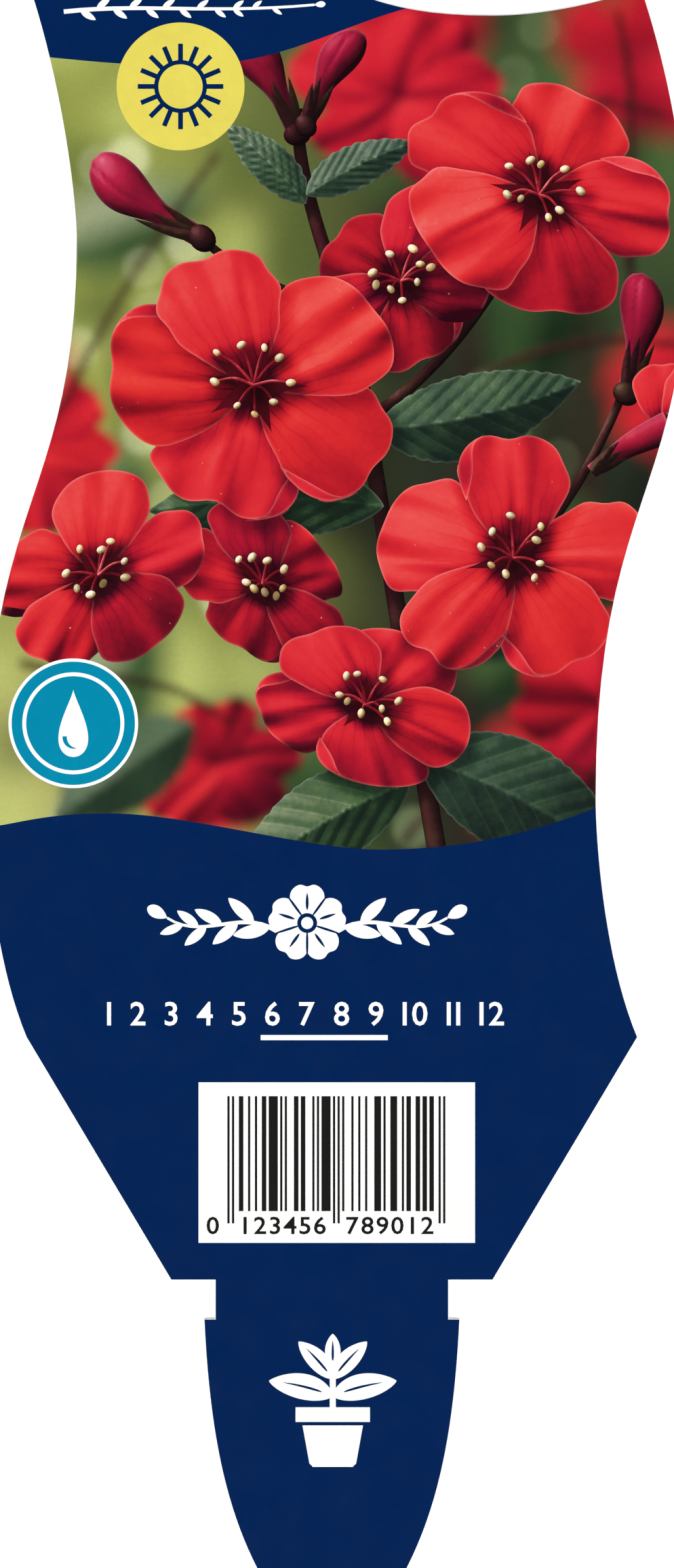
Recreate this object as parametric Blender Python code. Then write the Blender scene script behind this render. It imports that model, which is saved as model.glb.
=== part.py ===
"""A stick-in plant label: one die-cut sheet of plastic with a flag-shaped panel, a notched neck and a stake.

It lies face up. +X runs across the label, +Y towards its wavy top edge and +Z out of the printed face.
The origin is under the middle of the sheet, on the surface that it lies on.
"""

import math

import bpy

MM = 0.001

# The sheet, in millimetres. Heights are measured up from the tip of the stake, widths from its centreline.
SHEET_THICKNESS = 0.5
SHEET_LENGTH = 200.0

# The stake: its sides narrow slowly from the shoulders to a bend, then run almost straight to a small round nose.
STAKE_HALF_WIDTH = 14.8
STAKE_LENGTH = 43.0
STAKE_BEND = (8.7, 14.2)
NOSE_SIDE = (1.9, 1.3)
TAPER_ANGLE = math.radians(63.0)

# The neck between the stake's shoulders and the panel, with a notch at each side.
NECK_HALF_WIDTH = 13.5
NECK_HEIGHT = 4.5
PANEL_FOOT_HALF_WIDTH = 18.6

# The panel: both sides follow one wave, so its width is the same all the way up.
PANEL_WIDTH = 70.7
PANEL_CORNER_HEIGHT = 75.6
SIDE_HEIGHT = 122.6
WAVE_OUT = 4.8
WAVE_OUT_HEIGHT = 27.6
WAVE_IN = 5.8
WAVE_IN_HEIGHT = 92.2

# The top edge: a crest on the left, a trough on the right, and the right corner a little lower than the left.
TOP_CREST_X = -18.8
TOP_TROUGH = (18.5, 193.8)
RIGHT_CORNER_DROP = 1.1

# Bezier handles. A pair is the lengths before and after a smooth point, and the rest are offsets from a corner.
NOSE_HANDLE = 1.1
NOSE_SIDE_HANDLES = (1.0, 4.3)
STAKE_BEND_HANDLES = (4.7, 8.0)
SHOULDER_HANDLE = (-0.6, -13.0)
SIDE_FOOT_HANDLE = (-4.0, 9.6)
WAVE_OUT_HANDLES = (4.0, 35.1)
WAVE_IN_HANDLES = (30.0, 4.0)
SIDE_HEAD_HANDLE = (4.4, -13.0)
RIGHT_CORNER_HANDLE = (-2.7, -1.2)
TROUGH_HANDLES = (7.2, 18.5)
CREST_HANDLES = (22.3, 5.0)
LEFT_CORNER_HANDLE = (6.0, 1.3)
POINTS_PER_CURVE = 20

# Deep navy ink, as linear red, green, blue and alpha.
PRINT_NAVY = (0.0012, 0.0168, 0.0865, 1.0)
PRINT_ROUGHNESS = 0.4

LABEL = "plant_label"


def clear_scene():
    for obj in list(bpy.data.objects):
        bpy.data.objects.remove(obj, do_unlink=True)


def knot(x, y, back=None, ahead=None):
    """A point of the outline. back and ahead are its handles as offsets, or None where the edge is straight."""
    return (x, y), back, ahead


def along_taper(length):
    """A step up the stake's lower flank, which leans out at TAPER_ANGLE from the label's width."""
    return length * math.cos(TAPER_ANGLE), length * math.sin(TAPER_ANGLE)


def stake_side():
    """The right edge of the stake, from the nose up to the shoulder's corner."""
    side_back, side_ahead = NOSE_SIDE_HANDLES
    bend_back, bend_ahead = STAKE_BEND_HANDLES
    return [
        knot(0.0, 0.0, back=(-NOSE_HANDLE, 0.0), ahead=(NOSE_HANDLE, 0.0)),
        knot(*NOSE_SIDE, back=along_taper(-side_back), ahead=along_taper(side_ahead)),
        knot(*STAKE_BEND, back=along_taper(-bend_back), ahead=along_taper(bend_ahead)),
        knot(STAKE_HALF_WIDTH, STAKE_LENGTH, back=SHOULDER_HANDLE),
    ]


def neck_side():
    """The right notch: in along the stake's shoulder, up the neck and out under the panel."""
    neck_top = STAKE_LENGTH + NECK_HEIGHT
    return [
        knot(NECK_HALF_WIDTH, STAKE_LENGTH),
        knot(NECK_HALF_WIDTH, neck_top),
        knot(PANEL_FOOT_HALF_WIDTH, neck_top),
    ]


def panel_side(middle):
    """One wavy side of the panel, from its lower corner up; middle is the X that the wave swings about."""
    foot = PANEL_CORNER_HEIGHT
    out_back, out_ahead = WAVE_OUT_HANDLES
    in_back, in_ahead = WAVE_IN_HANDLES
    return [
        knot(middle, foot, ahead=SIDE_FOOT_HANDLE),
        knot(middle - WAVE_OUT, foot + WAVE_OUT_HEIGHT, back=(0.0, -out_back), ahead=(0.0, out_ahead)),
        knot(middle + WAVE_IN, foot + WAVE_IN_HEIGHT, back=(0.0, -in_back), ahead=(0.0, in_ahead)),
        knot(middle, foot + SIDE_HEIGHT, back=SIDE_HEAD_HANDLE),
    ]


def walked_back(knots):
    """The same edge walked from its end to its start."""
    return [knot(x, y, ahead, back) for (x, y), back, ahead in reversed(knots)]


def mirrored(knots):
    """The left edge that mirrors a right one, walked the other way."""
    turned = []
    for (x, y), back, ahead in walked_back(knots):
        flipped_back = (-back[0], back[1]) if back else None
        flipped_ahead = (-ahead[0], ahead[1]) if ahead else None
        turned.append(knot(-x, y, flipped_back, flipped_ahead))
    return turned


def top_edge(right_end, left_end):
    """The top edge from the right corner to the left one, between the knots that end the two sides."""
    (right_x, right_y), right_back, _ = right_end
    (left_x, left_y), _, left_ahead = left_end
    lean = right_back[0] / right_back[1]
    trough_back, trough_ahead = TROUGH_HANDLES
    crest_back, crest_ahead = CREST_HANDLES
    return [
        knot(
            right_x - lean * RIGHT_CORNER_DROP,
            right_y - RIGHT_CORNER_DROP,
            back=right_back,
            ahead=RIGHT_CORNER_HANDLE,
        ),
        knot(*TOP_TROUGH, back=(trough_back, 0.0), ahead=(-trough_ahead, 0.0)),
        knot(TOP_CREST_X, SHEET_LENGTH, back=(crest_back, 0.0), ahead=(-crest_ahead, 0.0)),
        knot(left_x, left_y, back=LEFT_CORNER_HANDLE, ahead=left_ahead),
    ]


def outline():
    """Every knot of the label's edge, anticlockwise from the nose of the stake."""
    lower_right = stake_side() + neck_side()
    lower_left = mirrored(lower_right)[:-1]
    right_side = panel_side(PANEL_WIDTH / 2)
    left_side = walked_back(panel_side(-PANEL_WIDTH / 2))
    top = top_edge(right_side[-1], left_side[0])
    return lower_right + right_side[:-1] + top + left_side[1:] + lower_left


def set_handle(point, side, co, offset, origin):
    """Places one handle of a Bezier point; a straight edge gets a vector handle."""
    if offset is None:
        setattr(point, f"handle_{side}_type", "VECTOR")
        return
    setattr(point, f"handle_{side}_type", "FREE")
    x = co[0] + offset[0] - origin[0]
    y = co[1] + offset[1] - origin[1]
    setattr(point, f"handle_{side}", (x * MM, y * MM, 0.0))


def sheet_curve(knots, origin):
    """The closed outline as a filled 2D curve, extruded to the sheet's thickness."""
    curve = bpy.data.curves.new(LABEL, "CURVE")
    curve.dimensions = "2D"
    curve.fill_mode = "BOTH"
    curve.extrude = SHEET_THICKNESS / 2 * MM
    curve.resolution_u = POINTS_PER_CURVE
    spline = curve.splines.new("BEZIER")
    spline.bezier_points.add(len(knots) - 1)
    spline.use_cyclic_u = True
    for point, (co, _, _) in zip(spline.bezier_points, knots):
        point.co = ((co[0] - origin[0]) * MM, (co[1] - origin[1]) * MM, 0.0)
    for point, (co, back, ahead) in zip(spline.bezier_points, knots):
        set_handle(point, "left", co, back, origin)
        set_handle(point, "right", co, ahead, origin)
    return curve


def printed_polypropylene():
    """Printed polypropylene sheet: mostly deep navy ink under a satin varnish."""
    material = bpy.data.materials.new("printed_polypropylene")
    material.use_nodes = True
    shader = material.node_tree.nodes["Principled BSDF"]
    shader.inputs["Base Color"].default_value = PRINT_NAVY
    shader.inputs["Roughness"].default_value = PRINT_ROUGHNESS
    shader.inputs["Metallic"].default_value = 0.0
    return material


def main():
    clear_scene()
    collection = bpy.data.collections.new("stick_in_plant_label")
    bpy.context.scene.collection.children.link(collection)

    # The panel reaches WAVE_OUT past its left corner and WAVE_IN past its right one.
    middle = ((WAVE_IN - WAVE_OUT) / 2, SHEET_LENGTH / 2)
    label = bpy.data.objects.new(LABEL, sheet_curve(outline(), middle))
    label.location.z = SHEET_THICKNESS / 2 * MM
    label.data.materials.append(printed_polypropylene())
    collection.objects.link(label)


main()
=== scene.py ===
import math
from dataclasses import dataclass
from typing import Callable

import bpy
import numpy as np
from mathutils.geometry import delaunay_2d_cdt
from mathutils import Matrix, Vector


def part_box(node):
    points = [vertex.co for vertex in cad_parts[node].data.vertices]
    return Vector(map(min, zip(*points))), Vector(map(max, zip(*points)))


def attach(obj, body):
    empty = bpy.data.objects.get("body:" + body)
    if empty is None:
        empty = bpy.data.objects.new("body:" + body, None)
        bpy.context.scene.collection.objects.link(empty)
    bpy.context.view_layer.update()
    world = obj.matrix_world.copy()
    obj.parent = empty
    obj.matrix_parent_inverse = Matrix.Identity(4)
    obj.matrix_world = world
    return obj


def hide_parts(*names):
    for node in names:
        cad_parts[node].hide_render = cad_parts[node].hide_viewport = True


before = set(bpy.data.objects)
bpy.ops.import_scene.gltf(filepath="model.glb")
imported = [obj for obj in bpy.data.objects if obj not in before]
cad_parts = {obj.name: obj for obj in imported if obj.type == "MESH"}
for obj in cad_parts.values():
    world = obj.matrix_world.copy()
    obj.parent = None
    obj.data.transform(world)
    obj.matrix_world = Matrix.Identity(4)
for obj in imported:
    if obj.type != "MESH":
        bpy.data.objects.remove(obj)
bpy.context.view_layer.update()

# A stick-in plant label of printed polypropylene sheet, lying face up.
#
# The label is one closed sheet. Its print is flat ink, so the whole front is one plane, parted into the
# printed shapes. Each shape has its own ink, and shapes laid later cover the earlier ones. Lengths are in
# millimetres in the label's own frame, x from the stake's centreline and y from its nose, until the mesh
# is made.

MM = 0.001
NODE = "plant_label"

# The label's own frame in the model's: the CAD box's middle lies this far right of the stake's centreline.
BOX_MIDDLE_X = 0.5
lowest, highest = (np.array(corner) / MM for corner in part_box(NODE))
ORIGIN = np.array([(lowest[0] + highest[0]) / 2 - BOX_MIDDLE_X, lowest[1]])
BACK_Z, FRONT_Z = lowest[2], highest[2]
CHAMFER = 0.06  # at the front's and the back's edges

# The camera looks straight down on this much of the label.
PHOTO_HEIGHT_PX = 2313
MM_PER_PX = 0.0784
VIEW_MIDDLE = np.array([0.59, 104.88])
LENS = 100.0
SENSOR = 36.0

# How finely the front is parted. The picture's tones are held at the points of a lattice, which stays
# clear of the sheet's edge. The areas are left, right, foot and top.
PICTURE_AREA, PICTURE_STEP, PICTURE_CLEAR = (-41, 42, 97, 200), 0.46, 0.2
PLAIN_AREA, PLAIN_STEP, PLAIN_CLEAR = (-41, 42, 1, 97), 6.0, 1.0
PICTURE_SIDE = 0.6  # the longest side of a ring in the picture
MERGE = 1e-5  # points nearer than this become one


# Colours


def linear(colour):
    """An sRGB hex colour as linear red, green, blue and an alpha of 1."""
    value = np.array([int(colour[i : i + 2], 16) for i in (1, 3, 5)]) / 255
    value = np.where(value <= 0.04045, value / 12.92, ((value + 0.055) / 1.055) ** 2.4)
    return np.append(value, 1.0)


# The tones that each printed thing runs through, from shade to sheen: first where it is cool, then where
# it is warm.
PALETTES = {
    "scarlet": (
        [(0.0, "#2a0311"), (0.2, "#630920"), (0.38, "#a0122a"), (0.54, "#c61d30"),
         (0.7, "#d62b3a"), (0.86, "#e14750"), (1.0, "#ec909b")],
        [(0.0, "#2e050d"), (0.2, "#720b16"), (0.38, "#b21922"), (0.54, "#d12829"),
         (0.7, "#dc3833"), (0.86, "#e55649"), (1.0, "#f09d92")],
    ),
    "crimson": (
        [(0.0, "#19030c"), (0.25, "#46091d"), (0.5, "#851232"), (0.7, "#aa1f45"),
         (0.88, "#c64a6e"), (1.0, "#e39ab2")],
        [(0.0, "#1e050b"), (0.25, "#560b1a"), (0.5, "#9c162b"), (0.7, "#bf2639"),
         (0.88, "#d7525c"), (1.0, "#efa49c")],
    ),
    "leaf": (
        [(0.0, "#090e10"), (0.3, "#162020"), (0.5, "#273832"), (0.7, "#45594e"),
         (0.88, "#7b8681"), (1.0, "#b5b6b8")],
        [(0.0, "#091009"), (0.3, "#192e16"), (0.5, "#344e25"), (0.7, "#58723b"),
         (0.88, "#8d9963"), (1.0, "#bdbd9a")],
    ),
    "stem": (
        [(0.0, "#0c0306"), (0.4, "#270c14"), (0.65, "#481923"), (0.85, "#774049"), (1.0, "#aa868a")],
        [(0.0, "#0c0905"), (0.4, "#292212"), (0.65, "#4c4826"), (0.85, "#7e7c4b"), (1.0, "#b2b48e")],
    ),
    "filament": (
        [(0.0, "#1a0308"), (0.4, "#620c1e"), (0.65, "#a02036"), (0.85, "#cf5a68"), (1.0, "#efb0ae")],
        [(0.0, "#1c0406"), (0.4, "#741018"), (0.65, "#b52c2e"), (0.85, "#dd6e5c"), (1.0, "#f5c4a8")],
    ),
    "pollen": (
        [(0.0, "#4c3e24"), (0.4, "#a8946a"), (0.65, "#e6dcbc"), (1.0, "#fffdf2")],
        [(0.0, "#54401c"), (0.4, "#b8965a"), (0.65, "#f0dca6"), (1.0, "#fffbe6")],
    ),
}
NAVY, BLACK, YELLOW, TEAL = "#002152", "#1a1a19", "#e0d25b", "#0086a8"


def shade(palette, tone, warmth):
    """The linear colours of a palette at rows of tones."""
    sides = []
    for stops in PALETTES[palette]:
        places = [place for place, _ in stops]
        colours = np.array([linear(colour)[:3] for _, colour in stops])
        sides.append(np.stack([np.interp(tone, places, channel) for channel in colours.T], 1))
    return sides[0] + warmth * (sides[1] - sides[0])


# Lines and rings


def ease(low, high, x):
    """0 below low and 1 above high; between them 3t^2 - 2t^3, where t is how far x has come."""
    t = np.clip((x - low) / (high - low), 0.0, 1.0)
    return t * t * (3 - 2 * t)


def turned(angle):
    """The matrix that turns by an angle in degrees."""
    c, s = math.cos(math.radians(angle)), math.sin(math.radians(angle))
    return np.array([[c, -s], [s, c]])


def bezier(points, count=24):
    """Points along cubic Bezier arcs that share their ends: start, handle, handle, end, handle, and so on."""
    points = np.array(points, float)
    t = np.linspace(0, 1, count, endpoint=False)[:, None]
    runs = []
    for i in range(0, len(points) - 1, 3):
        a, b, c, d = points[i : i + 4]
        runs.append((1 - t) ** 3 * a + 3 * (1 - t) ** 2 * t * b + 3 * (1 - t) * t**2 * c + t**3 * d)
    return np.vstack(runs + [points[-1:]])


def circle(middle, radius, count=64):
    """Middle plus radius times (cos a, sin a) for angles a all the way round."""
    angle = np.linspace(0, 2 * np.pi, count, endpoint=False)
    return np.array(middle) + radius * np.stack([np.cos(angle), np.sin(angle)], 1)


def box_ring(left, right, bottom, top):
    return np.array([(left, bottom), (right, bottom), (right, top), (left, top)], float)


def signed_area(ring):
    """Half the sum of x_i y_(i+1) - x_(i+1) y_i, more than 0 where the ring runs anticlockwise."""
    x, y = ring.T
    return (x * np.roll(y, -1) - y * np.roll(x, -1)).sum() / 2


def inside(ring, points):
    """True for each point from which a ray to the right crosses the ring an odd number of times."""
    a, b = ring, np.roll(ring, -1, axis=0)
    x, y = points[:, :1], points[:, 1:]
    spans = (a[:, 1] > y) != (b[:, 1] > y)
    rise = np.where(b[:, 1] == a[:, 1], 1.0, b[:, 1] - a[:, 1])
    crossing = a[:, 0] + (y - a[:, 1]) * (b[:, 0] - a[:, 0]) / rise
    return ((spans & (x < crossing)).sum(1) % 2).astype(bool)


def nearest(path, points):
    """Each point's distance to a path, the least over its segments, and how far along it that is, 0 to 1."""
    start, step = path[:-1], path[1:] - path[:-1]
    away = points[:, None] - start[None]
    t = np.clip((away * step).sum(2) / np.maximum((step**2).sum(1), 1e-12), 0, 1)
    gap = np.linalg.norm(away - t[:, :, None] * step, axis=2)
    best = gap.argmin(1)
    rows = np.arange(len(points))
    return gap[rows, best], (best + t[rows, best]) / len(step)


def stroke(path, radius):
    """The ring of a line: its path moved out by its radius on one side, and back along the other."""
    along = np.gradient(path, axis=0)
    across = np.stack([-along[:, 1], along[:, 0]], 1) / np.linalg.norm(along, axis=1, keepdims=True)
    return np.vstack([path + across * radius, (path - across * radius)[::-1]])


def boxed(ring, points, reach=0.0):
    """True for each point in the box round a ring, widened by reach."""
    return ((points > ring.min(0) - reach) & (points < ring.max(0) + reach)).all(1)


def depth(ring, points):
    """How far each point lies inside a ring, less than 0 outside it."""
    gap = nearest(np.vstack([ring, ring[:1]]), points)[0]
    return np.where(inside(ring, points), gap, -gap)


# Printed shapes


class Placement:
    """Where a shape lies: y rises by bend x^2, then it is turned to heading, leaned back and moved to at."""

    def __init__(self, at, heading=0.0, bend=0.0, lean=1.0, lean_axis=0.0):
        squash = turned(lean_axis) @ np.diag([1.0, lean]) @ turned(-lean_axis)
        self.matrix = squash @ turned(heading)
        self.inverse = np.linalg.inv(self.matrix)
        self.at = np.array(at, float)
        self.bend = bend

    def out(self, own):
        """Points of the shape's own frame, on the label."""
        x, y = own.T
        return np.stack([x, y + self.bend * x * x], 1) @ self.matrix.T + self.at

    def back(self, points):
        """Points of the label, in the shape's own frame."""
        x, y = ((points - self.at) @ self.inverse.T).T
        return np.stack([x, y - self.bend * x * x], 1)


@dataclass
class Motif:
    """One printed shape: its ink, the rings that fill it, and how its tone runs.

    relief gives the height in mm that the picture shows at (x, y) of the shape's own frame. pattern gives the
    (u, v) that the ink's veins follow there. shadow is how much the shape darkens what lies under it.
    """

    ink: str
    rings: list
    place: Placement = Placement((0, 0))
    relief: Callable = None
    pattern: Callable = None
    tone: float = 0.0
    warmth: float = 0.5
    shadow: float = 0.0
    patch: str = "picture"


# The pictured sun stands at the upper left. Level ground has LEVEL_TONE, and how far a slope faces the sun
# more or less than that adds or takes tone by these gains. A shadow falls SHADOW_WAY from its shape: it
# starts SHADOW_SOFTNESS outside the shape's moved ring, and is full SHADOW_FULL inside it.
SUN = np.array([-0.42, 0.5, 0.757])
LEVEL_TONE, SUN_GAIN, SHADE_GAIN = 0.58, 1.2, 0.8
SLOPE_STEP = 0.1
SHADOW_WAY = np.array([0.6, -0.8])
SHADOW_SOFTNESS, SHADOW_FULL = 1.9, 0.6
RIM_WIDTH, RIM_STRENGTH = 0.42, 0.62


def lit(motif, points):
    """The tone at points of a shape: its relief's normal times the sun's direction, less the level's."""
    tone = np.full(len(points), LEVEL_TONE + motif.tone)
    if motif.relief is None:
        return tone

    def height(x, y):
        return motif.relief(*motif.place.back(points + (x, y)).T)

    slope_x = (height(SLOPE_STEP, 0) - height(-SLOPE_STEP, 0)) / (2 * SLOPE_STEP)
    slope_y = (height(0, SLOPE_STEP) - height(0, -SLOPE_STEP)) / (2 * SLOPE_STEP)
    facing = (-slope_x * SUN[0] - slope_y * SUN[1] + SUN[2]) / np.sqrt(1 + slope_x**2 + slope_y**2)
    off_level = facing - SUN[2]
    return tone + np.where(off_level > 0, SUN_GAIN, SHADE_GAIN) * off_level


def shaded(motif, above, points):
    """The tone at points of a shape, darkened near the shapes above it on the side away from the sun."""
    light = np.ones(len(points))
    for other in above:
        if not other.shadow:
            continue
        ring = other.rings[0] + SHADOW_WAY
        near = boxed(ring, points, SHADOW_SOFTNESS)
        if near.any():
            light[near] *= 1 - other.shadow * ease(-SHADOW_SOFTNESS, SHADOW_FULL, depth(ring, points[near]))
    return lit(motif, points) * light


def profile(t, fore, aft):
    """t^fore (1 - t)^aft over its greatest value, which it has at fore / (fore + aft)."""
    widest = fore / (fore + aft)
    return (t**fore * (1 - t) ** aft) / (widest**fore * (1 - widest) ** aft)


def shares_of(length, width):
    """The pattern that gives x as a share of a length, and y as a share of a width."""
    return lambda x, y: (x / length, y / width)


def blade(length, half_width, fore, aft, notch=0.0, ripple=0.0, waves=3, phase=0.0, count=38):
    """A petal's or leaf's ring: y is half_width times the profile of x / length, on both sides.

    notch pulls the middle of the tip back, and ripple makes the edges wavy, more so towards the tip.
    """
    t = (1 - np.cos(np.linspace(0, np.pi, count))) / 2
    y = half_width * profile(t, fore, aft)
    upper = 1 + ripple * t * np.sin(2 * np.pi * waves * t + phase)
    lower = 1 + ripple * t * np.sin(2 * np.pi * waves * t + phase + 2.0)
    ring = np.vstack([np.stack([t * length, y * upper], 1), np.stack([t * length, -y * lower], 1)[-2:0:-1]])
    dent = np.exp(-((ring[:, 1] / (0.3 * half_width)) ** 2)) * (ring[:, 0] / length) ** 8
    ring[:, 0] -= notch * length * dent
    return ring


PETAL_PROFILE = (0.95, 0.5)


def petal(at, heading, length, half_width, draw, lean=1.0, lean_axis=0.0, tone=0.0, warmth=0.5):
    """One petal of a bloom, growing from at.

    Its height is an arch along it, less v^2 across it, less a crease down its middle and three folds that run
    out from its base, plus ruffles that grow outwards and a tilt; u runs along the petal and v across it.
    """
    phase, wave = draw.uniform(0, 2 * np.pi), draw.uniform(0.6, 1.1)
    notch, bend = draw.uniform(0.0, 0.1), draw.uniform(-0.008, 0.008)
    place = Placement(at, heading, bend, lean, lean_axis)
    ripple, waves = draw.uniform(0.03, 0.07), draw.uniform(2.0, 3.6)
    ring = blade(length, half_width, *PETAL_PROFILE, notch, ripple, waves, phase)
    arch_height = draw.uniform(0.05, 0.12) * length
    folds = [(draw.uniform(-0.75, 0.75), draw.uniform(0.6, 1.1), draw.uniform(-0.3, 0.3)) for _ in range(3)]
    tilt_x, tilt_y = draw.uniform(-0.12, 0.12, 2)

    def relief(x, y):
        u, v = np.clip(x / length, 0.0, 1.1), y / half_width
        height = arch_height * np.sin(np.pi * u**0.75) - 0.2 * half_width * v * v + tilt_x * x + tilt_y * y
        height -= 0.24 * np.exp(-((y / 0.75) ** 2)) * (1.1 - u)
        for share, width, deep in folds:
            off = y - share * half_width * (0.25 + 0.75 * u)
            height += deep * np.exp(-((off / width) ** 2)) * np.sin(np.pi * np.minimum(u, 1.0))
        return height + 0.075 * half_width * u * u * np.sin(2.6 * np.pi * wave * v + phase)

    def pattern(x, y):
        u, v = x / length, y / half_width
        return u, v / (0.3 + 0.7 * np.clip(u, 0, 1))

    return Motif("scarlet", [place.out(ring)], place, relief, pattern, tone, warmth, shadow=0.42)


def curled_lip(under, length, half_width, side, draw):
    """The turned-back edge of a petal: a crescent along one side that shows the petal's paler back.

    It runs from 0.45 to 0.97 of the petal's length, and its width swells and falls as half a sine wave.
    """
    t = np.linspace(0.45, 0.97, 16)
    edge = side * half_width * profile(t, *PETAL_PROFILE)
    depth_in = draw.uniform(0.16, 0.26) * np.sin(np.pi * (t - 0.45) / 0.52)
    outer = np.stack([t * length, edge * 1.02], 1)
    inner = np.stack([t * length, edge * (1 - depth_in)], 1)[-2:0:-1]
    place = under.place

    def relief(x, y):
        return -0.42 * side * y + 0.1 * half_width * np.sin(3 * np.pi * x / length)

    ring = place.out(np.vstack([outer, inner]))
    return Motif("scarlet", [ring], place, relief, under.pattern, under.tone - 0.02, 0.15, shadow=0.3)


def bloom(at, heading, size, draw, lean=1.0, lean_axis=0.0, tone=0.0, warmth=0.5):
    """A round bloom of five broad petals that overlap at random, some with a turned-back edge."""
    motifs = []
    for i in draw.permutation(5):
        angle = heading + 72 * i + draw.uniform(-7, 7)
        length, half_width = size * draw.uniform(0.92, 1.08), size * draw.uniform(0.4, 0.5)
        own_tone, own_warmth = tone + draw.uniform(-0.05, 0.05), warmth + draw.uniform(-0.25, 0.25)
        motifs.append(petal(at, angle, length, half_width, draw, lean, lean_axis, own_tone, own_warmth))
        if draw.random() < 0.35:
            motifs.append(curled_lip(motifs[-1], length, half_width, draw.choice([-1, 1]), draw))
    return motifs


def branch(points, start, end, palette="stem", tone=0.0, warmth=0.2, shadow=0.4, count=24):
    """A round stem along Bezier arcs: at distance d from its line its height is 0.8 sqrt(1.08 r^2 - d^2)."""
    path = bezier(points, count)
    ring = stroke(path, np.linspace(start, end, len(path))[:, None])

    def relief(x, y):
        gap, share = nearest(path, np.stack([x, y], 1))
        r = start + share * (end - start)
        return 0.8 * np.sqrt(np.maximum(1.08 * r * r - gap * gap, 0.02 * r * r))

    def pattern(x, y):
        gap, share = nearest(path, np.stack([x, y], 1))
        return share, gap / max(start, end)

    return Motif(palette, [ring], relief=relief, pattern=pattern, tone=tone, warmth=warmth, shadow=shadow)


def ball(at, radius, palette, draw, tone=0.0, shadow=0.35, long=1.0):
    """A small round or oval thing, such as an anther, with the height of an ellipsoid."""
    place = Placement(at, draw.uniform(0, 180))

    def relief(x, y):
        return np.sqrt(np.maximum(1.1 * radius**2 - (x / long) ** 2 - y * y, 0.001))

    ring = place.out(circle((0, 0), radius, 20) * (long, 1.0))
    warmth = draw.uniform(0, 1)
    return Motif(palette, [ring], place, relief, shares_of(radius, radius), tone, warmth, shadow)


def throat(at, heading, size, draw, lean=1.0, lean_axis=0.0, count=9):
    """The dark middle of a bloom, with a burst of filaments that each end in a cream anther."""
    place = Placement(at, heading, 0.0, lean, lean_axis)
    streak = blade(size * 0.36, size * 0.055, 0.45, 1.5, count=16)
    motifs = []
    for i in range(5):
        arm = Placement(at, heading + 72 * i + 36, 0.0, lean, lean_axis)
        motifs.append(Motif("filament", [arm.out(streak)], tone=-0.33, warmth=0.2))
    motifs.append(Motif("filament", [place.out(circle((0, 0), size * 0.1, 20))], tone=-0.44, shadow=0.5))
    for i in draw.permutation(count):
        angle = math.radians(360 / count * i + draw.uniform(-14, 14))
        reach = size * draw.uniform(0.16, 0.31)
        end = place.out(np.array([[math.cos(angle), math.sin(angle)]]) * reach)[0] + (0.0, size * 0.06)
        middle = (np.array(at) + end) / 2 + (0.0, size * draw.uniform(0.02, 0.05))
        tone = draw.uniform(0.0, 0.16)
        motifs.append(branch([at, middle, middle, end], 0.17, 0.12, "filament", tone, 0.4, 0.3, 8))
        motifs.append(ball(end, draw.uniform(0.34, 0.46), "pollen", draw, draw.uniform(0.0, 0.2), long=1.35))
    return motifs


def keeled(x, y):
    """The height of a sepal: it folds down from its keel by 0.5 |y|."""
    return -0.5 * np.abs(y)


def sepals(at, heading, lengths, draw):
    """Three thin dark sepals that spread from a base."""
    motifs = []
    for side in (-1.0, 0.2, 1.0):
        place = Placement(at, heading + side * draw.uniform(12, 26), -side * 0.015)
        ring = place.out(blade(draw.uniform(*lengths), 0.62, 0.3, 0.9, count=14))
        motifs.append(Motif("stem", [ring], place, keeled, None, -0.12, draw.uniform(0, 0.5), shadow=0.3))
    return motifs


def bud(at, heading, length, draw, bend=0.0, tone=0.0, warmth=0.3):
    """A closed bud: a throat that swells to a round head, held by thin dark sepals.

    Its radius eases up from 0.42 of the whole to all of it at 0.74 of its length, where half an ellipse
    begins.
    """
    width = length * 0.19
    t = np.linspace(0, 1, 34)

    def radius(u):
        u = np.clip(u, 0, 1)
        head = np.sqrt(np.clip(1 - ((u - 0.74) / 0.26) ** 2, 0, 1))
        return width * np.where(u < 0.74, 0.42 + 0.58 * ease(0.3, 0.74, u), head)

    upper = np.stack([t * length, radius(t)], 1)
    lower = np.stack([t * length, -radius(t)], 1)[-2::-1]
    place = Placement(at, heading, bend)

    def relief(x, y):
        r = np.maximum(radius(x / length), 0.05)
        seam = -0.16 * np.exp(-(((y - 0.25 * r) / 0.35) ** 2)) * ease(0.45, 0.7, x / length)
        return 0.85 * r * np.sqrt(np.maximum(1.08 - (y / r) ** 2, 0.02)) + seam

    body, pattern = place.out(np.vstack([upper, lower])), shares_of(length, width)
    motifs = [Motif("crimson", [body], place, relief, pattern, tone, warmth, shadow=0.42)]
    motifs += sepals(at, heading, (0.4 * length, 0.55 * length), draw)
    return motifs + [ball(at, width * 0.5, "stem", draw, -0.1, long=1.2)]


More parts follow.
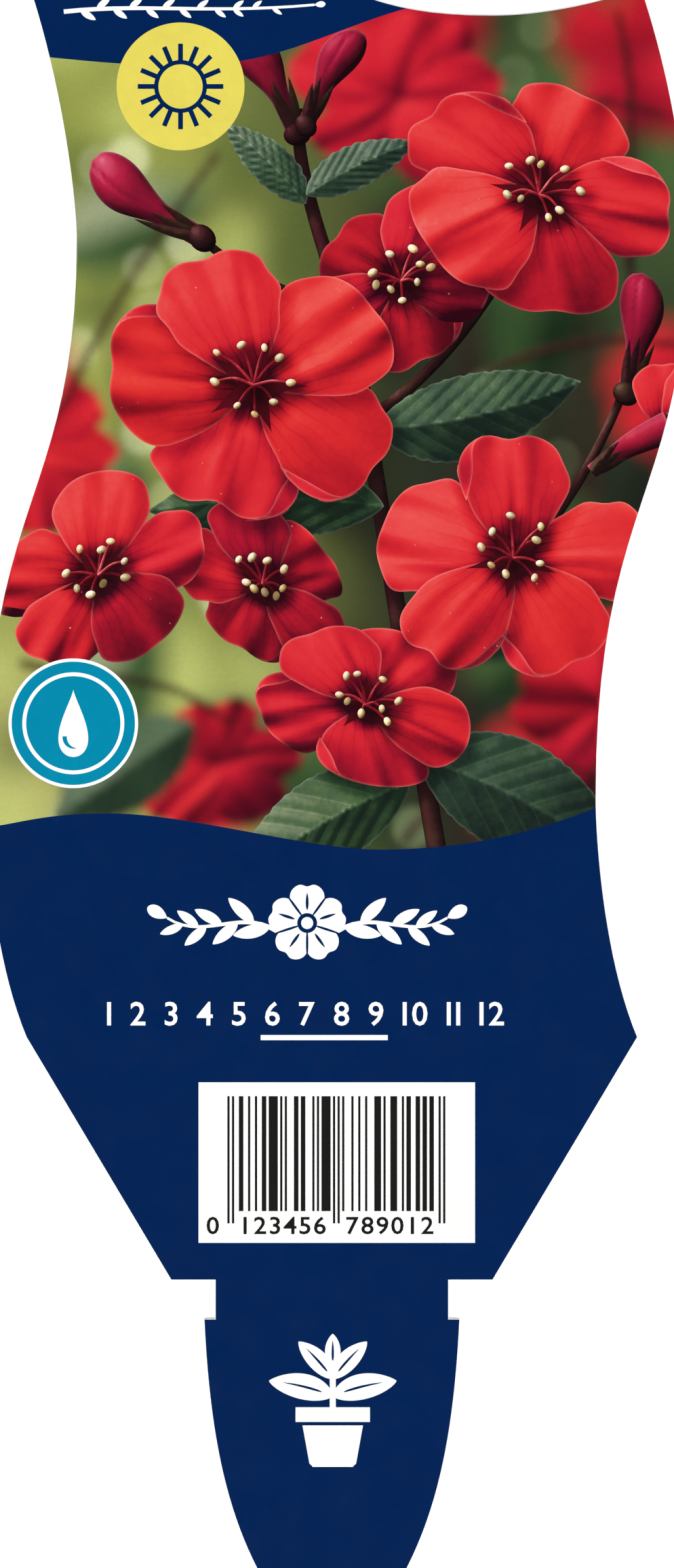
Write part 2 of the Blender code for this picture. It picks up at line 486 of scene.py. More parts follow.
def side_bloom(at, heading, size, draw, tone=0.0, warmth=0.5):
    """A bloom from the side: a flared tube in its sepals, with four petals fanned out beyond it."""
    base = np.array(at, float)
    way = turned(heading) @ np.array([1.0, 0.0])
    mouth = base + way * size * 0.95
    motifs = []
    for off, share in ((58, 0.72), (-62, 0.7), (24, 0.86), (-22, 0.84)):
        angle = heading + off + draw.uniform(-5, 5)
        half_width = size * draw.uniform(0.27, 0.33)
        own = (tone + draw.uniform(-0.06, 0.06), warmth + draw.uniform(-0.25, 0.25))
        motifs.append(petal(mouth - way * size * 0.08, angle, size * share, half_width, draw, 1.0, 0.0, *own))
    middle = (base + mouth) / 2 + turned(90) @ way * size * 0.05
    motifs.append(branch([base, middle, middle, mouth], size * 0.075, size * 0.17, "crimson", tone, 0.55))
    return motifs + sepals(base, heading, (0.36 * size, 0.46 * size), draw)


def leaf(at, heading, length, half_width, draw, bend=0.0, tone=0.0, warmth=0.4, lean=1.0):
    """A toothed leaf: it folds down from its midrib by 0.3 |y|, and is quilted, wavy and curled by sines."""
    ring = blade(length, half_width, 0.75, 0.95, count=64)
    toothing = ease(0.02, 0.2, ring[:, 0] / length) * ease(0.02, 0.12, 1 - ring[:, 0] / length)
    ring[:, 1] += 0.24 * np.abs(np.sin(ring[:, 0] * 2.1)) * np.sign(ring[:, 1]) * toothing
    place = Placement(at, heading, bend, lean)
    curl_height, sway = draw.uniform(0.06, 0.12) * length, draw.uniform(0, 2 * np.pi)

    def relief(x, y):
        u, v = x / length, y / half_width
        fold = -0.3 * np.abs(y)
        quilt = 0.05 * np.cos(2 * np.pi * (9 * u - 2.4 * np.abs(v)))
        wave = 0.05 * half_width * np.sin(2 * np.pi * 2 * u + sway) * np.abs(v)
        return fold + quilt + wave + curl_height * np.sin(np.pi * u)

    pattern = shares_of(length, half_width)
    return Motif("leaf", [place.out(ring)], place, relief, pattern, tone, warmth, shadow=0.5)


# The picture


def soft_growth(draw):
    """The far and the nearer growth behind the spray, out of focus, each from its back to its front."""
    far = []
    for at, size in [
        ((37, 189), 11), ((9, 192), 9), ((-37, 149), 9), ((39, 151), 8), ((-13, 105), 7), ((24, 105), 8),
    ]:
        far += bloom(at, draw.uniform(0, 72), size, draw, tone=-0.1, warmth=0.3)
    for path, width in [
        ([(31, 96), (33, 120), (27, 140), (31, 170)], 0.9),
        ([(-24, 97), (-26, 120), (-20, 140), (-26, 160)], 0.7),
        ([(16, 96), (12, 130), (20, 160), (14, 192)], 0.8),
        ([(40, 116), (30, 130), (24, 150), (22, 160)], 0.6),
    ]:
        far.append(branch(path, width, width * 0.7, tone=-0.1))
    for at, heading, length, width, tone in [
        ((16, 116), 35, 30, 7, -0.1), ((22, 150), 80, 26, 6, -0.12), ((-30, 104), 70, 26, 6, 0.12),
        ((-34, 166), 20, 22, 5, 0.14), ((34, 120), 120, 24, 6, -0.16), ((8, 100), 150, 28, 6, -0.02),
        ((14, 182), -15, 24, 5, -0.06), ((-20, 141), 190, 20, 5, 0.16),
    ]:
        far.append(leaf(at, heading, length, width, draw, tone=tone, warmth=0.8))
    middle = []
    for at, heading, size, lean, lean_axis, tone, warmth in [
        ((33, 114), 30, 13.0, 0.8, 20, -0.2, 0.3), ((8, 184), 10, 13.5, 0.75, -10, -0.14, 0.3),
        ((-36, 144), 50, 12.0, 0.85, 0, -0.1, 0.4), ((-13, 107), 20, 10.5, 0.7, 10, -0.18, 0.3),
    ]:
        middle += bloom(at, heading, size, draw, lean, lean_axis, tone, warmth)
    middle.append(leaf((30, 128), 200, 22, 5.0, draw, tone=-0.16))
    middle.append(leaf((-16, 112), 215, 20, 4.6, draw, tone=0.0))
    for path, width in [
        ([(31, 92), (30, 104), (32, 110), (33, 113)], 0.8),
        ([(12, 148), (20, 155), (30, 158), (43, 155)], 0.45),
        ([(36, 156), (32, 168), (37, 180), (33, 194)], 0.5),
        ([(-33, 146), (-27, 156), (-24, 164), (-13, 178)], 0.4),
        ([(-36, 119), (-28, 116), (-20, 119), (-12, 112)], 0.45),
        ([(14, 178), (18, 184), (28, 186), (39, 182)], 0.4),
        ([(8, 98), (16, 108), (25, 110), (35, 103)], 0.45),
    ]:
        middle.append(branch(path, width, width * 0.75, tone=-0.15))
    return far, middle


def spray(draw):
    """The spray in focus, from its back to its front."""
    motifs = []
    for path, start, end, tone in [
        ([(13, 92), (9, 116), (6, 134), (3, 154)], 1.15, 0.95, -0.05),
        ([(3, 152), (1, 164), (-4, 172), (-4, 183)], 0.95, 0.7, 0.0),
        ([(8, 121), (16, 124), (27, 133), (34, 151)], 0.7, 0.5, -0.05),
        ([(2, 158), (-4, 162), (-10, 163), (-15, 168)], 0.6, 0.5, 0.0),
        ([(5, 142), (-6, 141), (-16, 136), (-24, 130)], 0.7, 0.55, 0.0),
        ([(4, 147), (12, 152), (18, 160), (22, 168)], 0.7, 0.55, -0.05),
    ]:
        motifs.append(branch(path, start, end, tone=tone))
    for at, heading, length, half_width, bend, tone, warmth in [
        ((10, 108), -18, 28, 6.4, -0.006, -0.16, 0.25), ((9, 105), 199, 25, 5.2, 0.009, -0.02, 0.5),
        ((3, 156), 58, 22, 4.0, -0.01, 0.02, 0.2), ((5, 146), 2, 24, 4.8, 0.008, -0.12, 0.3),
        ((6, 137), 172, 27, 4.4, 0.006, 0.04, 0.5), ((-3, 172), 128, 13, 2.3, 0.01, 0.04, 0.3),
        ((-3, 173), 34, 14, 2.4, -0.01, 0.0, 0.2),
    ]:
        motifs.append(leaf(at, heading, length, half_width, draw, bend, tone, warmth))
    for at, heading, length, bend, tone in [
        ((-4, 180), 112, 14.0, 0.01, -0.03), ((-3, 181), 70, 12.5, -0.012, -0.08),
        ((-15, 168), 152, 15.5, -0.008, 0.03), ((34, 150), 74, 14.0, 0.01, -0.03),
    ]:
        motifs += bud(at, heading, length, draw, bend, tone)
    motifs += side_bloom((30, 141), 30, 11.0, draw, tone=-0.08, warmth=0.35)
    for at, heading, size, lean, lean_axis, tone, warmth in [
        ((8, 163), 0, 12.5, 0.8, 40, -0.2, 0.3),
        ((-8, 128), 30, 12.0, 0.7, -40, -0.22, 0.3),
        ((-27, 129), 20, 14.0, 0.76, 30, -0.06, 0.45),
        ((4, 114), 50, 13.5, 0.72, -15, -0.1, 0.4),
        ((24, 173), -10, 17.0, 0.82, -25, 0.0, 0.6),
        ((21, 131), 12, 16.0, 0.84, 15, -0.02, 0.55),
        ((-9, 151), 36, 18.0, 0.9, -10, 0.02, 0.6),
    ]:
        motifs += bloom(at, heading, size, draw, lean, lean_axis, tone, warmth)
        motifs += throat(at, heading, size, draw, lean, lean_axis)
    return motifs


# The picture's depth of field: the radii in mm of the discs that the far and near garden's points spread to.
# The garden is painted on squares of GARDEN_STEP, to some way past the picture.
FAR_BLUR, NEAR_BLUR = 2.4, 0.8
GARDEN_STEP = 0.4
GARDEN_AREA, SPOTS_FOOT, SPOTS_TOP = (-46, 48, 92, 206), 98, 196

# The garden is sunlit grass at the left, which turns to shade from SHADE_FROM to SHADE_FULL, and there are
# three glades in it: where each is, how far it spreads in mm, and its colour.
SUNLIT, SHADED = "#92994b", "#262c20"
SHADE_FROM, SHADE_FULL = -26.0, 12.0
GLADES = [((38, 184), 15.0, "#4a6237"), ((-38, 104), 13.0, "#adab66"), ((2, 190), 9.0, "#4f5f36")]


def out_of_focus(layer, radius):
    """A layer as a lens blurs it: each point is spread over a disc, by multiplying Fourier transforms."""
    rows, columns = layer.shape[:2]
    y = np.fft.fftfreq(rows, 1 / rows)[:, None] * GARDEN_STEP
    x = np.fft.fftfreq(columns, 1 / columns)[None] * GARDEN_STEP
    disc = np.clip((radius - np.hypot(x, y)) / GARDEN_STEP + 0.5, 0, 1)
    spread = np.fft.rfft2(disc / disc.sum())[:, :, None]
    return np.fft.irfft2(np.fft.rfft2(layer, axes=(0, 1)) * spread, (rows, columns), axes=(0, 1))


def painted(layer, points, motifs):
    """Lays shapes in their palettes' colours on a layer of red, green, blue and cover."""
    for motif in motifs:
        ring = motif.rings[0]
        near = boxed(ring, points)
        near[near] = inside(ring, points[near])
        tone = np.clip(lit(motif, points[near]), 0, 1)
        layer[near] = np.column_stack([shade(motif.ink, tone, motif.warmth), np.ones(len(tone))])


def sampled(layer, corner, points):
    """A layer at points, between its four nearest squares in proportion. corner is where the first lies."""
    column, row = ((points - corner) / GARDEN_STEP).T
    i, j = row.astype(int), column.astype(int)
    down, over = (row - i)[:, None], (column - j)[:, None]
    upper = layer[i, j] * (1 - over) + layer[i, j + 1] * over
    lower = layer[i + 1, j] * (1 - over) + layer[i + 1, j + 1] * over
    return upper * (1 - down) + lower * down


def garden(points, draw):
    """The garden behind the spray, as linear colours at points.

    A glade covers the grass and shade by exp(-d^2 / 2s^2) at distance d, where s is its spread. Spots and
    far growth are laid over that and blurred, and then nearer growth is blurred less and laid over them.
    A spot whose share is over 1 is a highlight, as many times as bright as its colour.
    """
    x, y = np.arange(*GARDEN_AREA[:2], GARDEN_STEP), np.arange(*GARDEN_AREA[2:], GARDEN_STEP)
    grid = np.stack(np.meshgrid(x, y), 2).reshape(-1, 2)
    shape = (len(y), len(x), 4)
    share = ease(SHADE_FROM, SHADE_FULL, grid[:, 0])[:, None]
    far = linear(SUNLIT) + share * (linear(SHADED) - linear(SUNLIT))
    for at, spread, colour in GLADES:
        cover = np.exp(-((grid - at) ** 2).sum(1) / (2 * spread**2))
        far += cover[:, None] * (linear(colour) - far)
    for count, left, right, sizes, colour, share in [
        (26, -40, -8, (2.0, 6.0), "#c0c873", 0.5), (22, -38, 0, (2.0, 5.0), "#46592a", 0.5),
        (26, 0, 40, (2.0, 5.5), "#0f1110", 0.6), (16, 4, 40, (1.5, 4.0), "#456434", 0.5),
        (16, -38, -10, (0.4, 0.8), "#ffffd8", 3.0), (14, 4, 40, (0.3, 0.6), "#c8dca0", 3.0),
    ]:
        for _ in range(count):
            at = np.array([draw.uniform(left, right), draw.uniform(SPOTS_FOOT, SPOTS_TOP)])
            radius, squash = draw.uniform(*sizes), draw.uniform(0.7, 1.1)
            gap = np.hypot(*((grid - at) * (1.0, squash)).T)
            cover = share * (1 - ease(radius * 0.5, radius * 1.3, gap))
            far += cover[:, None] * (linear(colour) - far * min(1.0, 1 / share))
    back_growth, near_growth = soft_growth(draw)
    painted(far, grid, back_growth)
    near = np.zeros((len(grid), 4))
    painted(near, grid, near_growth)
    near[:, :3] *= near[:, 3:]
    far = out_of_focus(far.reshape(shape), FAR_BLUR)
    near = out_of_focus(near.reshape(shape), NEAR_BLUR)
    scene = far[:, :, :3] * (1 - near[:, :, 3:]) + near[:, :, :3]
    return np.clip(sampled(scene, grid[0], points), 0, 1)


# The plain print: bands, signs, bars and numerals

# Bezier arcs of the navy's edge under the picture, left to right, and of the navy in the top left corner.
LOWER_WAVE = [
    (-45.0, 99.9), (-43.0, 99.9), (-42.0, 99.92),
    (-40.5, 99.92), (-37.1, 99.92), (-34.4, 101.49),
    (-25.8, 101.49), (-16.6, 101.49), (-3.0, 97.3),
    (5.5, 97.3), (13.5, 97.3), (21.6, 98.5),
    (30.8, 102.25), (34.0, 103.6), (40.0, 107.0), (45.0, 110.0),
]
TOP_WAVE = [
    (-45.0, 191.0), (-41.0, 190.2), (-37.0, 189.5),
    (-33.2, 188.97), (-27.14, 188.4), (-24.0, 187.99),
    (-16.58, 187.99), (-5.76, 187.99), (0.41, 192.54),
    (10.0, 194.96), (14.0, 196.0), (18.0, 197.5), (22.0, 200.0),
]
# The signs' middles and their discs, their rings' outer and inner radii, a ray's start, end and half width,
# and the drop's half width and half height.
SUN_SIGN, SUN_RADIUS, SUN_RING, SUN_RAY = np.array([-17.5, 185.55]), 7.4, (3.06, 2.56), (2.8, 4.95, 0.28)
WATER_SIGN, WATER_RADIUS, WATER_RIM = np.array([-29.9, 111.9]), 7.5, 0.37
WATER_RING, DROP = (5.9, 5.45), (2.5, 3.9)

# The shop code: 95 bars and gaps, each one module wide, in a white box.
CODE_BOX = (-15.42, 16.55, 51.81, 70.38)
CODE_LEFT, MODULE = -12.09, 0.2654
CODE_TOP, CODE_FOOT, GUARD_FOOT = 68.78, 55.48, 54.06
CODE_NUMERALS = "0123456789012"
GUARDS = {*range(3), *range(45, 50), *range(92, 95)}  # the modules of the longer bars
LEFT_CODES = "0001101 0011001 0010011 0111101 0100011 0110001 0101111 0111011 0110111 0001011".split()
NUMERAL_HEIGHT, NUMERAL_FOOT, NUMERAL_PITCH = 2.05, 52.86, 1.73
FIRST_NUMERAL, GROUP_MIDDLES, NUMERAL_STRETCH = -13.77, (-5.71, 6.71), 1.1
NUMERAL_SHARE = 0.73  # the height of the font's numerals, of its size
NUMERAL_BOLD = 0.012  # how far they are thickened, of the same

ORNAMENT_BOX, ORNAMENT_MIDDLE = (-22.2, 16.6, 83.6, 94.0), np.array([-2.86, 88.8])
MONTHS_BOX = (-27.2, 21.2, 74.6, 80.6)
MONTH_LEFT, MONTH_RIGHT, MONTH_FOOT, MONTH_HEIGHT = -26.0, 19.9, 77.0, 2.8
DIGIT_GAP = 0.62  # between the two digits of one month
FLOWERING, BAR_TOP, BAR_FOOT, BAR_REACH = (6, 9), 75.85, 75.25, 0.5
POT_BOX, POT_MIDDLE = (-8.6, 8.8, 25.0, 41.6), np.array([0.1, 33.2])


def rim_edges(faces):
    """The directed edges that one of the faces alone has."""
    edges = {(a, b) for face in faces for a, b in zip(face, face[1:] + face[:1])}
    return [(a, b) for a, b in edges if (b, a) not in edges]


def closed_loops(edges):
    """Chains directed edges into closed loops of point numbers."""
    after = dict(sorted(edges))
    loops = []
    while after:
        loop = [next(iter(after))]
        while (step := after.pop(loop[-1])) != loop[0]:
            loop.append(step)
        loops.append(loop)
    return loops


def linked(name, data):
    """A new object in the scene."""
    obj = bpy.data.objects.new(name, data)
    bpy.context.scene.collection.objects.link(obj)
    return obj


def numeral(digit, middle, foot, height, ink, ground, stretch=1.0, patch="code"):
    """A numeral in Blender's own sans-serif, centred on middle: its outline, and its holes over that."""
    curve = bpy.data.curves.new("numeral", "FONT")
    curve.body = digit
    curve.resolution_u = 3
    curve.offset = NUMERAL_BOLD
    obj = linked("numeral", curve)
    bpy.context.view_layer.update()
    mesh = bpy.data.meshes.new_from_object(obj.evaluated_get(bpy.context.evaluated_depsgraph_get()))
    bpy.data.objects.remove(obj)
    points = np.array([v.co[:2] for v in mesh.vertices])
    loops = closed_loops(rim_edges([list(face.vertices) for face in mesh.polygons]))
    bpy.data.meshes.remove(mesh)
    left, right = points[:, 0].min(), points[:, 0].max()
    size = np.array([stretch, 1.0]) * height / NUMERAL_SHARE
    points = (points - ((left + right) / 2, 0.0)) * size + (middle, foot)
    rings = [points[loop] for loop in loops]
    areas = [signed_area(ring) for ring in rings]
    outward = np.sign(max(areas, key=abs))
    outlines = [ring for ring, area in zip(rings, areas) if area * outward > 0]
    holes = [ring for ring, area in zip(rings, areas) if area * outward < 0]
    return [Motif(ink, outlines, patch=patch), Motif(ground, holes, patch=patch)]


def navy_bands():
    """The navy below the picture, and in its top left corner. The sheet's edge cuts off what is past it."""
    lower = np.vstack([bezier(LOWER_WAVE, 22), [(60, 110), (60, -10), (-60, -10), (-60, 99.9)]])
    upper = np.vstack([bezier(TOP_WAVE, 16), [(22, 220), (-60, 220), (-60, 191)]])
    return [Motif("navy", [lower], patch="plain"), Motif("navy", [upper])]


def garland(points, leaf_length, count, patch):
    """A thin wavy stem with leaves on alternate sides that shrink towards its end, and a bud at the end."""
    path = bezier(points, 14)
    rings = [stroke(path, np.linspace(0.26, 0.14, len(path))[:, None])]
    headings = [math.degrees(math.atan2(y, x)) for x, y in np.gradient(path, axis=0)]
    for i, share in enumerate(np.linspace(0.1, 0.88, count)):
        k = round(share * (len(path) - 1))
        length = leaf_length * (1.05 - 0.45 * share)
        side = 1 if i % 2 else -1
        place = Placement(path[k], headings[k] + 40 * side, -0.05 * side / length)
        rings.append(place.out(blade(length, length * 0.18, 0.7, 0.8, count=14)))
    tip = blade(leaf_length * 0.6, leaf_length * 0.17, 0.9, 0.6, count=14)
    rings.append(Placement(path[-1], headings[-1]).out(tip))
    return [Motif("white", [ring], patch=patch) for ring in rings]


def flower_ornament():
    """A white flower between a garland and its mirror image, in the middle of the navy."""
    motifs = [Motif("navy", [box_ring(*ORNAMENT_BOX)], patch="ornament")]
    path = ORNAMENT_MIDDLE + np.array([(3.4, -1.0), (7.8, 1.9), (12.0, -2.2), (16.2, 0.6)])
    for motif in garland(path, 4.3, 7, "ornament"):
        ring = motif.rings[0]
        motifs += [motif, Motif("white", [ring * (-1, 1) + (2 * ORNAMENT_MIDDLE[0], 0)], patch="ornament")]
    petal_ring = blade(4.6, 2.0, *PETAL_PROFILE, notch=0.08)
    slit = blade(2.0, 0.17, 0.6, 0.8, count=10) + (1.5, 0.0)
    seam = blade(3.3, 0.14, 0.5, 0.7, count=10) + (0.9, 0.0)
    rings = [("white", Placement(ORNAMENT_MIDDLE, 90 + 72 * i).out(petal_ring)) for i in range(5)]
    for i in range(5):
        rings.append(("navy", Placement(ORNAMENT_MIDDLE, 90 + 72 * i).out(slit)))
        rings.append(("navy", Placement(ORNAMENT_MIDDLE, 126 + 72 * i).out(seam)))
    rings += [("navy", circle(ORNAMENT_MIDDLE, 1.15, 32)), ("white", circle(ORNAMENT_MIDDLE, 0.7, 24))]
    return motifs + [Motif(ink, [ring], patch="ornament") for ink, ring in rings]


def month_scale():
    """The months as plain numbers, evenly spaced, with a bar under those of flowering."""
    motifs = [Motif("navy", [box_ring(*MONTHS_BOX)], patch="months")]
    digits = [(month, digit) for month in range(1, 13) for digit in str(month)]
    look = {"foot": MONTH_FOOT, "height": MONTH_HEIGHT, "ink": "white", "ground": "navy", "patch": "months"}
    drawn = [numeral(digit, 0.0, **look) for _, digit in digits]
    widths = np.array([np.ptp(np.vstack(outlines.rings)[:, 0]) for outlines, _ in drawn])
    same_month = np.array([one[0] == other[0] for one, other in zip(digits, digits[1:])])
    free = MONTH_RIGHT - MONTH_LEFT - widths.sum() - DIGIT_GAP * same_month.sum()
    gaps = np.where(same_month, DIGIT_GAP, free / (~same_month).sum())
    lefts = MONTH_LEFT + np.append(0.0, np.cumsum(widths[:-1] + gaps))
    for digit, left, width in zip(drawn, lefts, widths):
        for motif in digit:
            motif.rings = [ring + (left + width / 2, 0.0) for ring in motif.rings]
        motifs += digit
    first, last = (month - 1 for month in FLOWERING)
    left, right = lefts[first] - BAR_REACH, lefts[last] + widths[last] + BAR_REACH
    bar = box_ring(left, right, BAR_FOOT, BAR_TOP)
    return motifs + [Motif("white", [bar], patch="months")]


def sun_sign():
    """The full-sun sign: a yellow disc with a ring and short rays."""
    start, end, half_width = SUN_RAY
    ray = box_ring(start, end, -half_width, half_width)
    rays = [Placement(SUN_SIGN, 22.5 * i).out(ray) for i in range(16)]
    return [
        Motif("yellow", [circle(SUN_SIGN, SUN_RADIUS, 96)]),
        Motif("navy", rays),
        Motif("navy", [circle(SUN_SIGN, SUN_RING[0])]),
        Motif("yellow", [circle(SUN_SIGN, SUN_RING[1])]),
    ]


def water_sign():
    """A watering sign: a teal disc with a white rim, a white ring and a drop.

    The drop is sin a sin(a / 2)^1.6 of its half width, and cos a of its half height, for angles a all the
    way round, which makes it pointed above and round below.
    """
    angle = np.linspace(0, 2 * np.pi, 60, endpoint=False)
    drop = np.stack([DROP[0] * np.sin(angle) * np.sin(angle / 2) ** 1.6, DROP[1] * np.cos(angle)], 1)
    glint = np.vstack([
        bezier([(-1.25, -1.5), (-1.3, -2.7), (-0.2, -3.1), (0.4, -2.9)], 10),
        bezier([(0.4, -2.9), (-0.3, -2.75), (-0.75, -2.3), (-0.75, -1.5)], 10)[1:],
    ])
    return [
        Motif("white", [circle(WATER_SIGN, WATER_RADIUS, 96)]),
        Motif("teal", [circle(WATER_SIGN, WATER_RADIUS - WATER_RIM, 96)]),
        Motif("white", [circle(WATER_SIGN, WATER_RING[0], 80)]),
        Motif("teal", [circle(WATER_SIGN, WATER_RING[1], 80)]),
        Motif("white", [drop + WATER_SIGN]),
        Motif("teal", [glint + WATER_SIGN]),
    ]


def shop_code():
    """The white box with its bars and numerals. A right-hand numeral's bars are a left-hand one's gaps."""
    swap = str.maketrans("01", "10")
    left = "".join(LEFT_CODES[int(n)] for n in CODE_NUMERALS[1:7])
    right = "".join(LEFT_CODES[int(n)].translate(swap) for n in CODE_NUMERALS[7:])
    modules = np.array(list("0101" + left + "01010" + right + "1010"), int)
    starts = np.flatnonzero(np.diff(modules) > 0)
    ends = np.flatnonzero(np.diff(modules) < 0)
    bars = []
    for start, end in zip(starts, ends):
        foot = GUARD_FOOT if start in GUARDS else CODE_FOOT
        bars.append(box_ring(CODE_LEFT + start * MODULE, CODE_LEFT + end * MODULE, foot, CODE_TOP))
    motifs = [Motif("white", [box_ring(*CODE_BOX)], patch="code"), Motif("black", bars, patch="code")]
    groups = [middle + (i - 2.5) * NUMERAL_PITCH for middle in GROUP_MIDDLES for i in range(6)]
    for digit, place in zip(CODE_NUMERALS, [FIRST_NUMERAL] + groups):
        motifs += numeral(digit, place, NUMERAL_FOOT, NUMERAL_HEIGHT, "black", "white", NUMERAL_STRETCH)
    return motifs


def pot_sign():
    """A white potted seedling on the stake."""
    body = np.array([(-3.5, -2.5), (-2.7, -6.9), (-2.3, -7.3), (2.3, -7.3), (2.7, -6.9), (3.5, -2.5)])
    lip, stem = box_ring(-4.3, 4.3, -2.1, -0.4), box_ring(-0.35, 0.35, -0.6, 4.6)
    rings = [("navy", box_ring(*POT_BOX))]
    rings += [("white", POT_MIDDLE + ring) for ring in (body, lip, stem)]
    for heading, length, width, root in [
        (158, 7.5, 1.5, 0.9), (22, 7.5, 1.5, 0.9), (126, 5.8, 1.15, 2.9), (54, 5.8, 1.15, 2.9),
        (90, 3.8, 0.9, 4.3),
    ]:
        place = Placement(POT_MIDDLE + (0, root), heading, 0.02 * np.sign(heading - 90))
        rib = blade(length * 0.62, 0.14, 0.4, 0.8, count=12) + (length * 0.18, 0.0)
        rings += [("white", place.out(blade(length, width, 0.7, 0.8))), ("navy", place.out(rib))]
    return [Motif(ink, [ring], patch="pot") for ink, ring in rings]


# Inks and sheet. Every finish is worked out at its point of the label, in metres.


def add(tree, kind, inputs=None, out=0, stops=(), **settings):
    """Adds a shader node with its settings, joins or sets its inputs, and gives one of its outputs.

    stops are a colour ramp's pairs of place and colour.
    """
    node = tree.nodes.new("ShaderNode" + kind)
    for name, value in settings.items():
        setattr(node, name, value)
    for key, value in (inputs or {}).items():
        if isinstance(value, bpy.types.NodeSocket):
            tree.links.new(value, node.inputs[key])
        else:
            node.inputs[key].default_value = value
    if stops:
        ramp = node.color_ramp.elements
        for place, colour in stops[1:-1]:
            ramp.new(place).color = linear(colour)
        ramp[0].color = linear(stops[0][1])
        ramp[len(ramp) - 1].color = linear(stops[-1][1])
    return node.outputs[out]


def varnished(name, roughness=0.24):
    """A material under varnish, with its node tree, its shader's sockets and the place on the label.

    Varnish rolled on plastic film is satin, faintly uneven over a few millimetres, with an orange peel
    that is really about 0.2 mm across and is drawn at 0.5 mm to show.
    """
    material = bpy.data.materials.new(name)
    material.use_nodes = True
    tree = material.node_tree
    sockets = tree.nodes["Principled BSDF"].inputs
    sockets["IOR"].default_value = 1.49
    sockets["Specular IOR Level"].default_value = 0.3
    here = add(tree, "TexCoord", out="Object")
    uneven = add(tree, "TexNoise", {"Vector": here, "Scale": 1 / (4.0 * MM), "Detail": 2.0})
    rough = add(tree, "Math", {0: uneven, 1: 0.12, 2: roughness - 0.06}, operation="MULTIPLY_ADD")
    tree.links.new(rough, sockets["Roughness"])
    peel = add(tree, "TexNoise", {"Vector": here, "Scale": 1 / (0.5 * MM), "Detail": 1.0})
    bump = add(tree, "Bump", {"Height": peel, "Strength": 0.1, "Distance": 0.02 * MM})
    tree.links.new(bump, sockets["Normal"])
    return material, tree, sockets, here


def solid_ink(name, colour):
    """Offset ink printed solid: it dries a little unevenly on plastic, in mottle 1.2 and 9 mm across."""
    material, tree, sockets, here = varnished(name)
    fine = add(tree, "TexNoise", {"Vector": here, "Scale": 1 / (1.2 * MM), "Detail": 4.0})
    broad = add(tree, "TexNoise", {"Vector": here, "Scale": 1 / (9.0 * MM), "Detail": 2.0})
    mottle = add(tree, "Math", {0: fine, 1: broad}, operation="ADD")
    dark, light = linear(colour) * (0.86, 0.86, 0.86, 1), linear(colour) * (1.14, 1.14, 1.14, 1)
    share = add(tree, "Math", {0: mottle, 1: 0.5}, operation="MULTIPLY")
    mixed = add(tree, "Mix", {0: share, 6: dark, 7: np.clip(light, 0, 1)}, out=2, data_type="RGBA")
    tree.links.new(mixed, sockets["Base Color"])
    return material


def bare_sheet(name, roughness):
    """White polypropylene sheet without ink: calendered, so a little cloudy over some 6 mm."""
    material, tree, sockets, here = varnished(name, roughness)
    cloudy = add(tree, "TexNoise", {"Vector": here, "Scale": 1 / (6.0 * MM), "Detail": 3.0})
    white = add(tree, "ValToRGB", {0: cloudy}, stops=[(0.0, "#f1f1ef"), (1.0, "#fdfdfc")])
    tree.links.new(white, sockets["Base Color"])
    return material


def stripes(tree, turns, power):
    """Thin stripes, one to a turn: the crests of a cosine, raised to a power."""
    angle = add(tree, "Math", {0: turns, 1: 2 * math.pi}, operation="MULTIPLY")
    wave = add(tree, "Math", {0: angle}, operation="COSINE")
    crest = add(tree, "Math", {0: wave, 1: 0.0}, operation="MAXIMUM")
    return add(tree, "Math", {0: crest, 1: power}, operation="POWER")


def petal_marks(tree, tone, u, v, blotch, base, veins, count):
    """Darkens the first third of a petal by base, and lines along it by veins, which fade towards its tip."""
    near_base = add(tree, "Math", {0: u, 1: -3.0, 2: 1.05}, operation="MULTIPLY_ADD", use_clamp=True)
    tone = add(tree, "Math", {0: near_base, 1: -base, 2: tone}, operation="MULTIPLY_ADD")
    turns = add(tree, "Math", {0: v, 1: count, 2: blotch}, operation="MULTIPLY_ADD")
    to_tip = add(tree, "Math", {0: 1.05, 1: u}, operation="SUBTRACT")
    fade = add(tree, "Math", {0: to_tip, 1: to_tip}, operation="MULTIPLY")
    drawn = add(tree, "Math", {0: stripes(tree, turns, 5.0), 1: fade}, operation="MULTIPLY")
    return add(tree, "Math", {0: drawn, 1: -veins, 2: tone}, operation="MULTIPLY_ADD")


def leaf_marks(tree, tone, u, v, ribs):
    """Lightens a leaf's nine pairs of slanting side veins by ribs, and its midrib by 1.8 times that."""
    across = add(tree, "Math", {0: v}, operation="ABSOLUTE")
    slant = add(tree, "Math", {0: across, 1: -2.4, 2: 0.5}, operation="MULTIPLY_ADD")
    turns = add(tree, "Math", {0: u, 1: 9.0, 2: slant}, operation="MULTIPLY_ADD")
    tone = add(tree, "Math", {0: stripes(tree, turns, 10.0), 1: ribs, 2: tone}, operation="MULTIPLY_ADD")
    midrib = add(tree, "Math", {0: across, 1: -14.0, 2: 1.0}, operation="MULTIPLY_ADD", use_clamp=True)
    return add(tree, "Math", {0: midrib, 1: ribs * 1.8, 2: tone}, operation="MULTIPLY_ADD")


